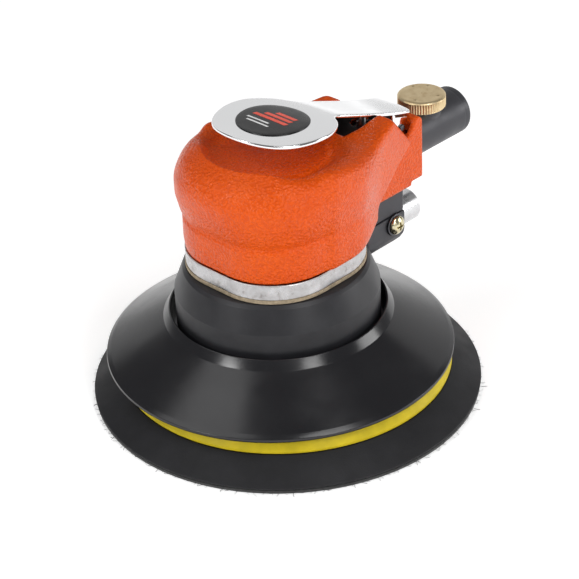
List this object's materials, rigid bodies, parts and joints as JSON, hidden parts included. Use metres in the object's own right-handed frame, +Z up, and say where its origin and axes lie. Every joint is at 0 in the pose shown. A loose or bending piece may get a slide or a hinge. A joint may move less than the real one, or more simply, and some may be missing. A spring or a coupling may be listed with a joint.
{
  "type": "pneumatic orbital sander",
  "caption": "Air-powered palm orbital sander with a round hook pad, dust shroud, rubber grip, chrome throttle lever and brass speed knob.",
  "frame": {"origin": "on the motor axis, in the plane of the pad's hook face", "axes": "+Z up along the motor axis, +Y back to the air inlet, the longest extent, +X to the side with the duct screw"},
  "size_m": [0.1496, 0.1774, 0.1127],
  "materials": {
    "hook": "rough",
    "foam": "satin",
    "olive_urethane": "matte",
    "steel": "brushed",
    "vane_composite": "matte",
    "aluminium": "satin",
    "chrome": "polished",
    "badge": "gloss",
    "brass": "satin",
    "zinc": "bright",
    "orange_rubber": "grained",
    "black_plastic": "satin",
    "black_rubber": "gloss",
    "seal_rubber": "matte",
    "charcoal": "satin",
    "paper": "matte",
    "felt": "rough"
  },
  "bodies": {
    "housing": {"motor_housing": "aluminium", "grip": "orange_rubber", "housing_gasket": "paper", "collar": "black_plastic", "dust_shroud": "black_rubber", "lock_ring": "steel", "lower_end_plate": "aluminium", "lower_bearing": "steel", "cylinder": "steel", "cylinder_oring": "seal_rubber", "cylinder_dowel": "steel", "upper_end_plate": "aluminium", "upper_bearing": "steel", "collar_screw_1": "steel", "collar_screw_2": "steel", "collar_screw_3": "steel", "collar_screw_4": "steel", "lever_pivot": "steel", "pin_bush": "brass", "pin_seal": "seal_rubber", "valve_seat": "brass", "inlet_body": "charcoal", "inlet_bushing": "steel", "inlet_screen": "brass", "exhaust_duct_upper": "black_plastic", "exhaust_duct_lower": "black_plastic", "exhaust_tube": "aluminium", "silencer_felt": "felt", "duct_screw": "zinc", "duct_washer": "steel"},
    "motor_shaft": {"balance_shaft": "steel", "spindle_bearing": "steel", "bearing_circlip": "steel", "shaft_circlip": "steel", "rotor": "steel", "rotor_vane_1": "vane_composite", "rotor_vane_2": "vane_composite", "rotor_vane_3": "vane_composite", "rotor_vane_4": "vane_composite", "rotor_vane_5": "vane_composite"},
    "pad": {"hook_face": "hook", "pad_cushion": "foam", "pad_backing": "olive_urethane", "pad_hub": "steel", "pad_stud": "steel", "spindle": "steel", "spindle_circlip": "steel"},
    "lever": {"throttle_lever": "chrome", "lever_badge": "badge"},
    "pin": {"throttle_pin": "steel"},
    "valve": {"tip_valve": "brass", "valve_spring": "steel"},
    "regulator": {"regulator_knob": "brass", "regulator_spool": "steel", "regulator_oring": "seal_rubber"}
  },
  "joints": [
    {"name": "motor_spin", "type": "hinge", "parent": "housing", "child": "motor_shaft", "pos_m": [0, 0, 0.06], "axis": [0, 0, 1], "continuous": true},
    {"name": "pad_spin", "type": "hinge", "parent": "motor_shaft", "child": "pad", "pos_m": [0.00242, 0.00065, 0.03], "axis": [0, 0, 1], "continuous": true},
    {"name": "lever_press", "type": "hinge", "parent": "housing", "child": "lever", "pos_m": [0, 0.0616, 0.086], "axis": [1, 0, 0], "range_deg": [0, 8], "stiffness_Nm_per_rad": 2, "springref_deg": -2.86},
    {"name": "pin_slide", "type": "slide", "parent": "housing", "child": "pin", "axis": [0, 0, -1], "range_m": [0, 0.0022]},
    {"name": "valve_tilt", "type": "hinge", "parent": "housing", "child": "valve", "pos_m": [0, 0.0576, 0.08], "axis": [1, 0, 0], "range_deg": [0, 14.2]},
    {"name": "regulator_turn", "type": "hinge", "parent": "housing", "child": "regulator", "pos_m": [0, 0.0836, 0.084], "axis": [0, 0, 1], "range_deg": [-90, 0]}
  ],
  "couplings": [
    {"joint": "pin_slide", "follows": "lever_press", "m_per_rad": 0.015},
    {"joint": "valve_tilt", "follows": "lever_press", "ratio": 1.75}
  ]
}
